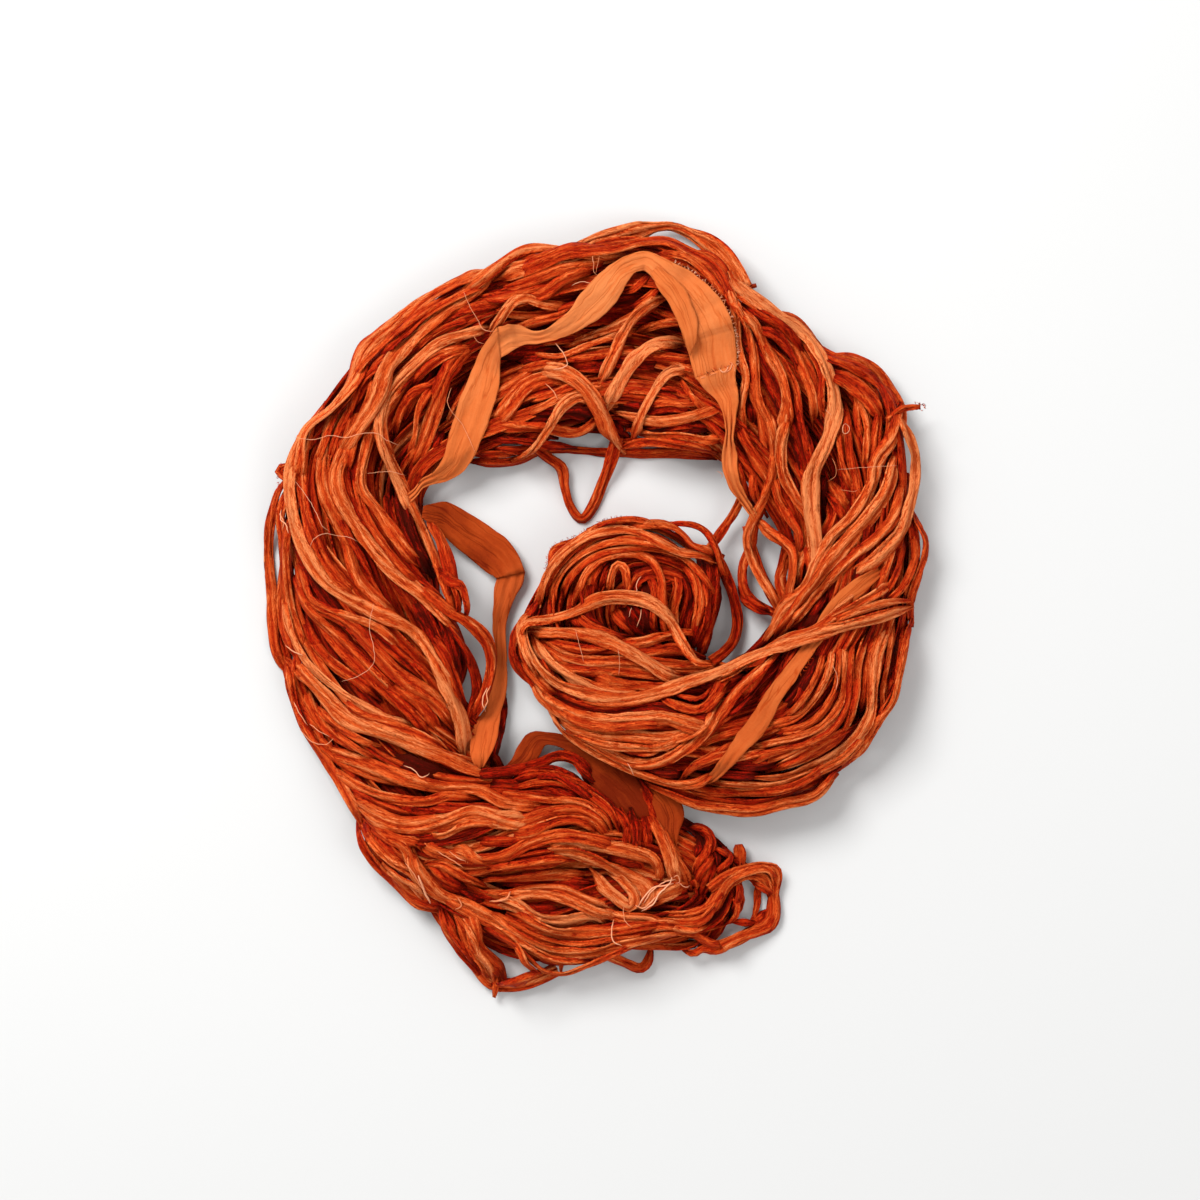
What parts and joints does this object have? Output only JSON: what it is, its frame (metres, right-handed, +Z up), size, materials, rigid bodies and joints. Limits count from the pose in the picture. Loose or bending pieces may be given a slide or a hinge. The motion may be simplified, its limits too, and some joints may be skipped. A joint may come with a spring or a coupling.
{
  "type": "skein of sari silk ribbon yarn",
  "caption": "Loosely twisted skein of crumpled silk ribbon, laid flat and curled in on itself, with loose loops and flat bands of ribbon on and beside it.",
  "frame": {"origin": "on the table under the middle of the outline", "axes": "+Z up from the table, +Y towards the top of the round bundle, +X towards its right side, the looped end lying at the front right"},
  "size_m": [0.333, 0.3902, 0.0442],
  "materials": {
    "ribbon_rust": "crumpled silk ribbon, soft low sheen, rust orange with deep red shadows",
    "ribbon_orange": "smooth plain-woven silk, light orange, soft sheen",
    "ribbon_brown": "thin silk ribbon, brown orange, slightly sheer"
  },
  "bodies": {
    "root": {"skein": "ribbon_rust", "top_loop": "ribbon_orange", "inner_ribbon": "ribbon_brown", "v_loop": "ribbon_rust", "eye_loop": "ribbon_rust", "right_loop": "ribbon_rust", "tail_ribbon": "ribbon_brown", "tail_loop": "ribbon_rust", "corner_loop": "ribbon_rust", "wide_band": "ribbon_orange", "lower_band": "ribbon_orange"}
  },
  "joints": []
}
